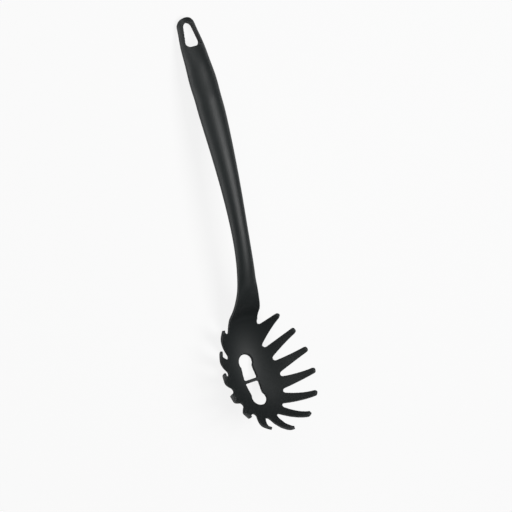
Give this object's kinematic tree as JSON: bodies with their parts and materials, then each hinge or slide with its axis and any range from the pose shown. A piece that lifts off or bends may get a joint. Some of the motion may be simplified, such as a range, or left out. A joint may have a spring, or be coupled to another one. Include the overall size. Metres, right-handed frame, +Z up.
{
  "type": "pasta server",
  "caption": "Deep ladle-like bowl with tall tines round its rim and drain holes in its floor, on a long curved handle with a hanging eye.",
  "frame": {"origin": "on the table under the middle of the laid object, at the bottom centre of its bounding box", "axes": "+X from the hanging end toward the bowl's far tines, +Y across the bowl, +Z up from the table that it lies on"},
  "size_m": [0.316, 0.074, 0.0615],
  "materials": {
    "black_nylon": "satin black nylon with a fine moulded grain"
  },
  "bodies": {
    "root": {"hanging_loop": "black_nylon", "grip": "black_nylon", "neck": "black_nylon", "bowl": "black_nylon", "tine_01": "black_nylon", "tine_02": "black_nylon", "tine_03": "black_nylon", "tine_04": "black_nylon", "tine_05": "black_nylon", "tine_06": "black_nylon", "tine_07": "black_nylon", "tine_08": "black_nylon", "tine_09": "black_nylon", "tine_10": "black_nylon", "tine_11": "black_nylon", "tine_12": "black_nylon", "tine_13": "black_nylon"}
  },
  "joints": []
}
